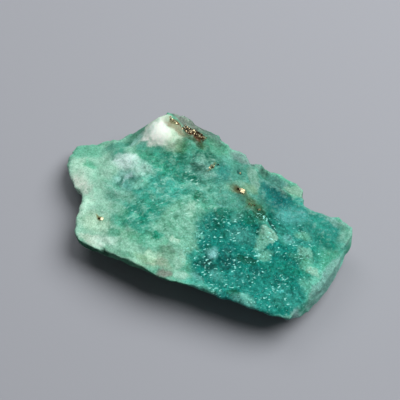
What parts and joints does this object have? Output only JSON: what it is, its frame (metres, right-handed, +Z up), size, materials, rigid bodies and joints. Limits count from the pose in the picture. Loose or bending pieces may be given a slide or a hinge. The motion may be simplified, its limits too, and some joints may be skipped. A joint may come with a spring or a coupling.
{
  "type": "rough green hauyne",
  "caption": "Rough slab of green hauyne with a broken, sparkling top, a white crystal knob, a back ledge and small pyrite cubes; lies on a small flat spot.",
  "frame": {"origin": "bottom centre of the stone's bounding box", "axes": "+X along the stone's length, +Z up through its thickness, -Y towards its long straight front edge"},
  "size_m": [0.0412, 0.0246, 0.008],
  "materials": {
    "hauyne": "satin",
    "pyrite": "satin"
  },
  "bodies": {
    "root": {"hauyne_stone": "hauyne"}
  },
  "joints": []
}
